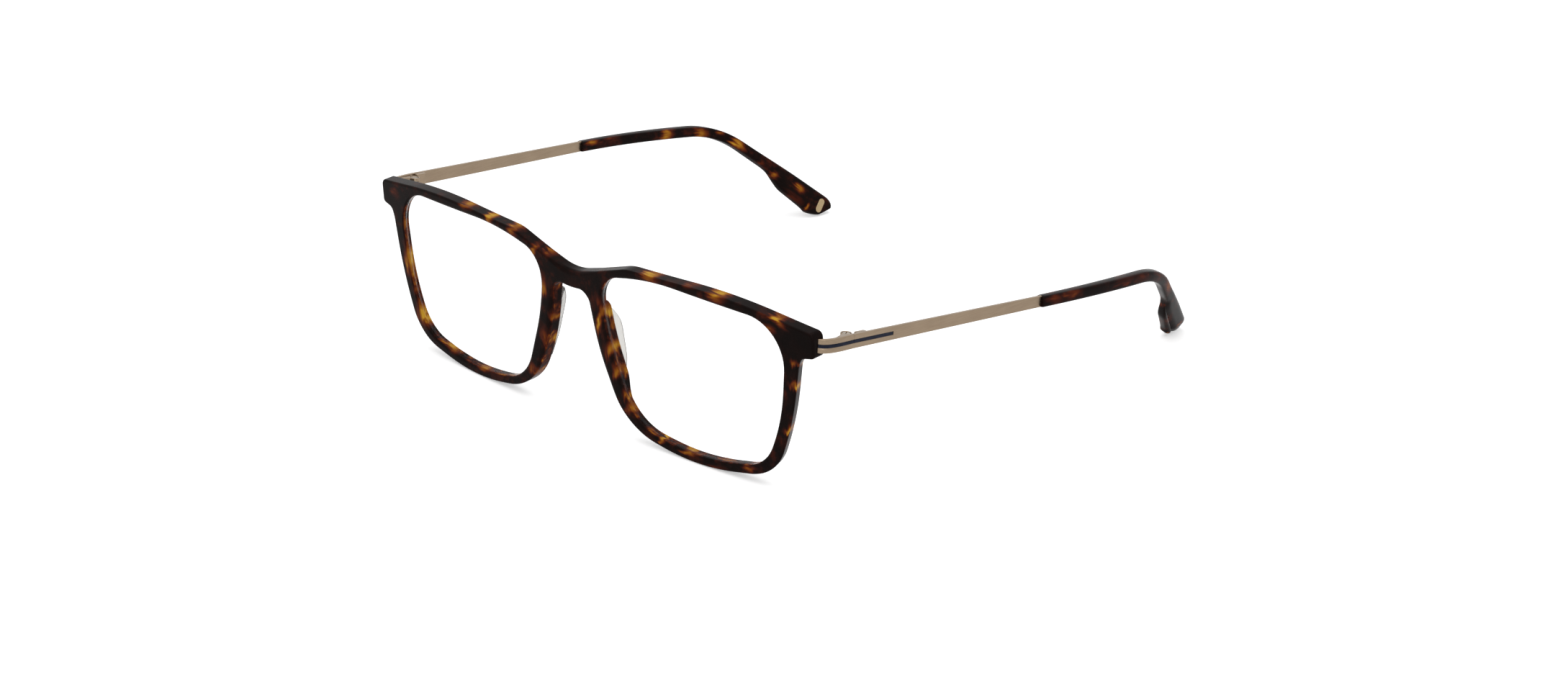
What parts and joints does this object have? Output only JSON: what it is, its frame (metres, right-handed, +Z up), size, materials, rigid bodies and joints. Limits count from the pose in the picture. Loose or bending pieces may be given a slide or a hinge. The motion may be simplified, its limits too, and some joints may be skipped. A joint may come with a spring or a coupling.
{
  "type": "eyeglasses frame",
  "caption": "Full-rim rectangular eyeglasses frame: acetate front with clear lenses and nose pads, flat metal temples on screw hinges and curved acetate tips.",
  "frame": {"origin": "centre of the bounding box's underside, on the table the open frame stands on", "axes": "+Z up, the front faces -Y, +X is the wearer's left, the temples run back along +Y"},
  "size_m": [0.1554, 0.1489, 0.0431],
  "materials": {
    "acetate": "polished tortoiseshell acetate",
    "lens": "clear polished",
    "pad": "clear polished acetate",
    "metal": "brushed pale gold",
    "enamel": "glossy dark blue enamel",
    "screw": "turned",
    "plaque": "polished"
  },
  "bodies": {
    "front": {"front_frame": "acetate", "lens_left": "lens", "lens_right": "lens", "nose_pad_left": "pad", "nose_pad_right": "pad", "end_piece_left": "metal", "end_piece_right": "metal", "end_piece_stripe_left": "enamel", "end_piece_stripe_right": "enamel", "lug_screw_left": "screw", "lug_screw_right": "screw", "hinge_front_leaf_left": "metal", "hinge_front_leaf_right": "metal", "hinge_screw_left": "screw", "hinge_screw_right": "screw"},
    "temple_left": {"hinge_temple_leaf_left": "metal", "temple_bar_left": "metal", "temple_stripe_left": "enamel", "temple_tip_left": "acetate", "tip_plaque_left": "plaque"},
    "temple_right": {"hinge_temple_leaf_right": "metal", "temple_bar_right": "metal", "temple_stripe_right": "enamel", "temple_tip_right": "acetate", "tip_plaque_right": "plaque"}
  },
  "joints": [
    {"name": "left_temple_hinge", "type": "hinge", "parent": "front", "child": "temple_left", "pos_m": [0.0712, -0.0586, 0.03665], "axis": [0, 0.0924, 0.9957], "range_deg": [0, 85]},
    {"name": "right_temple_hinge", "type": "hinge", "parent": "front", "child": "temple_right", "pos_m": [-0.0712, -0.0586, 0.03665], "axis": [0, -0.0924, -0.9957], "range_deg": [0, 75]}
  ]
}
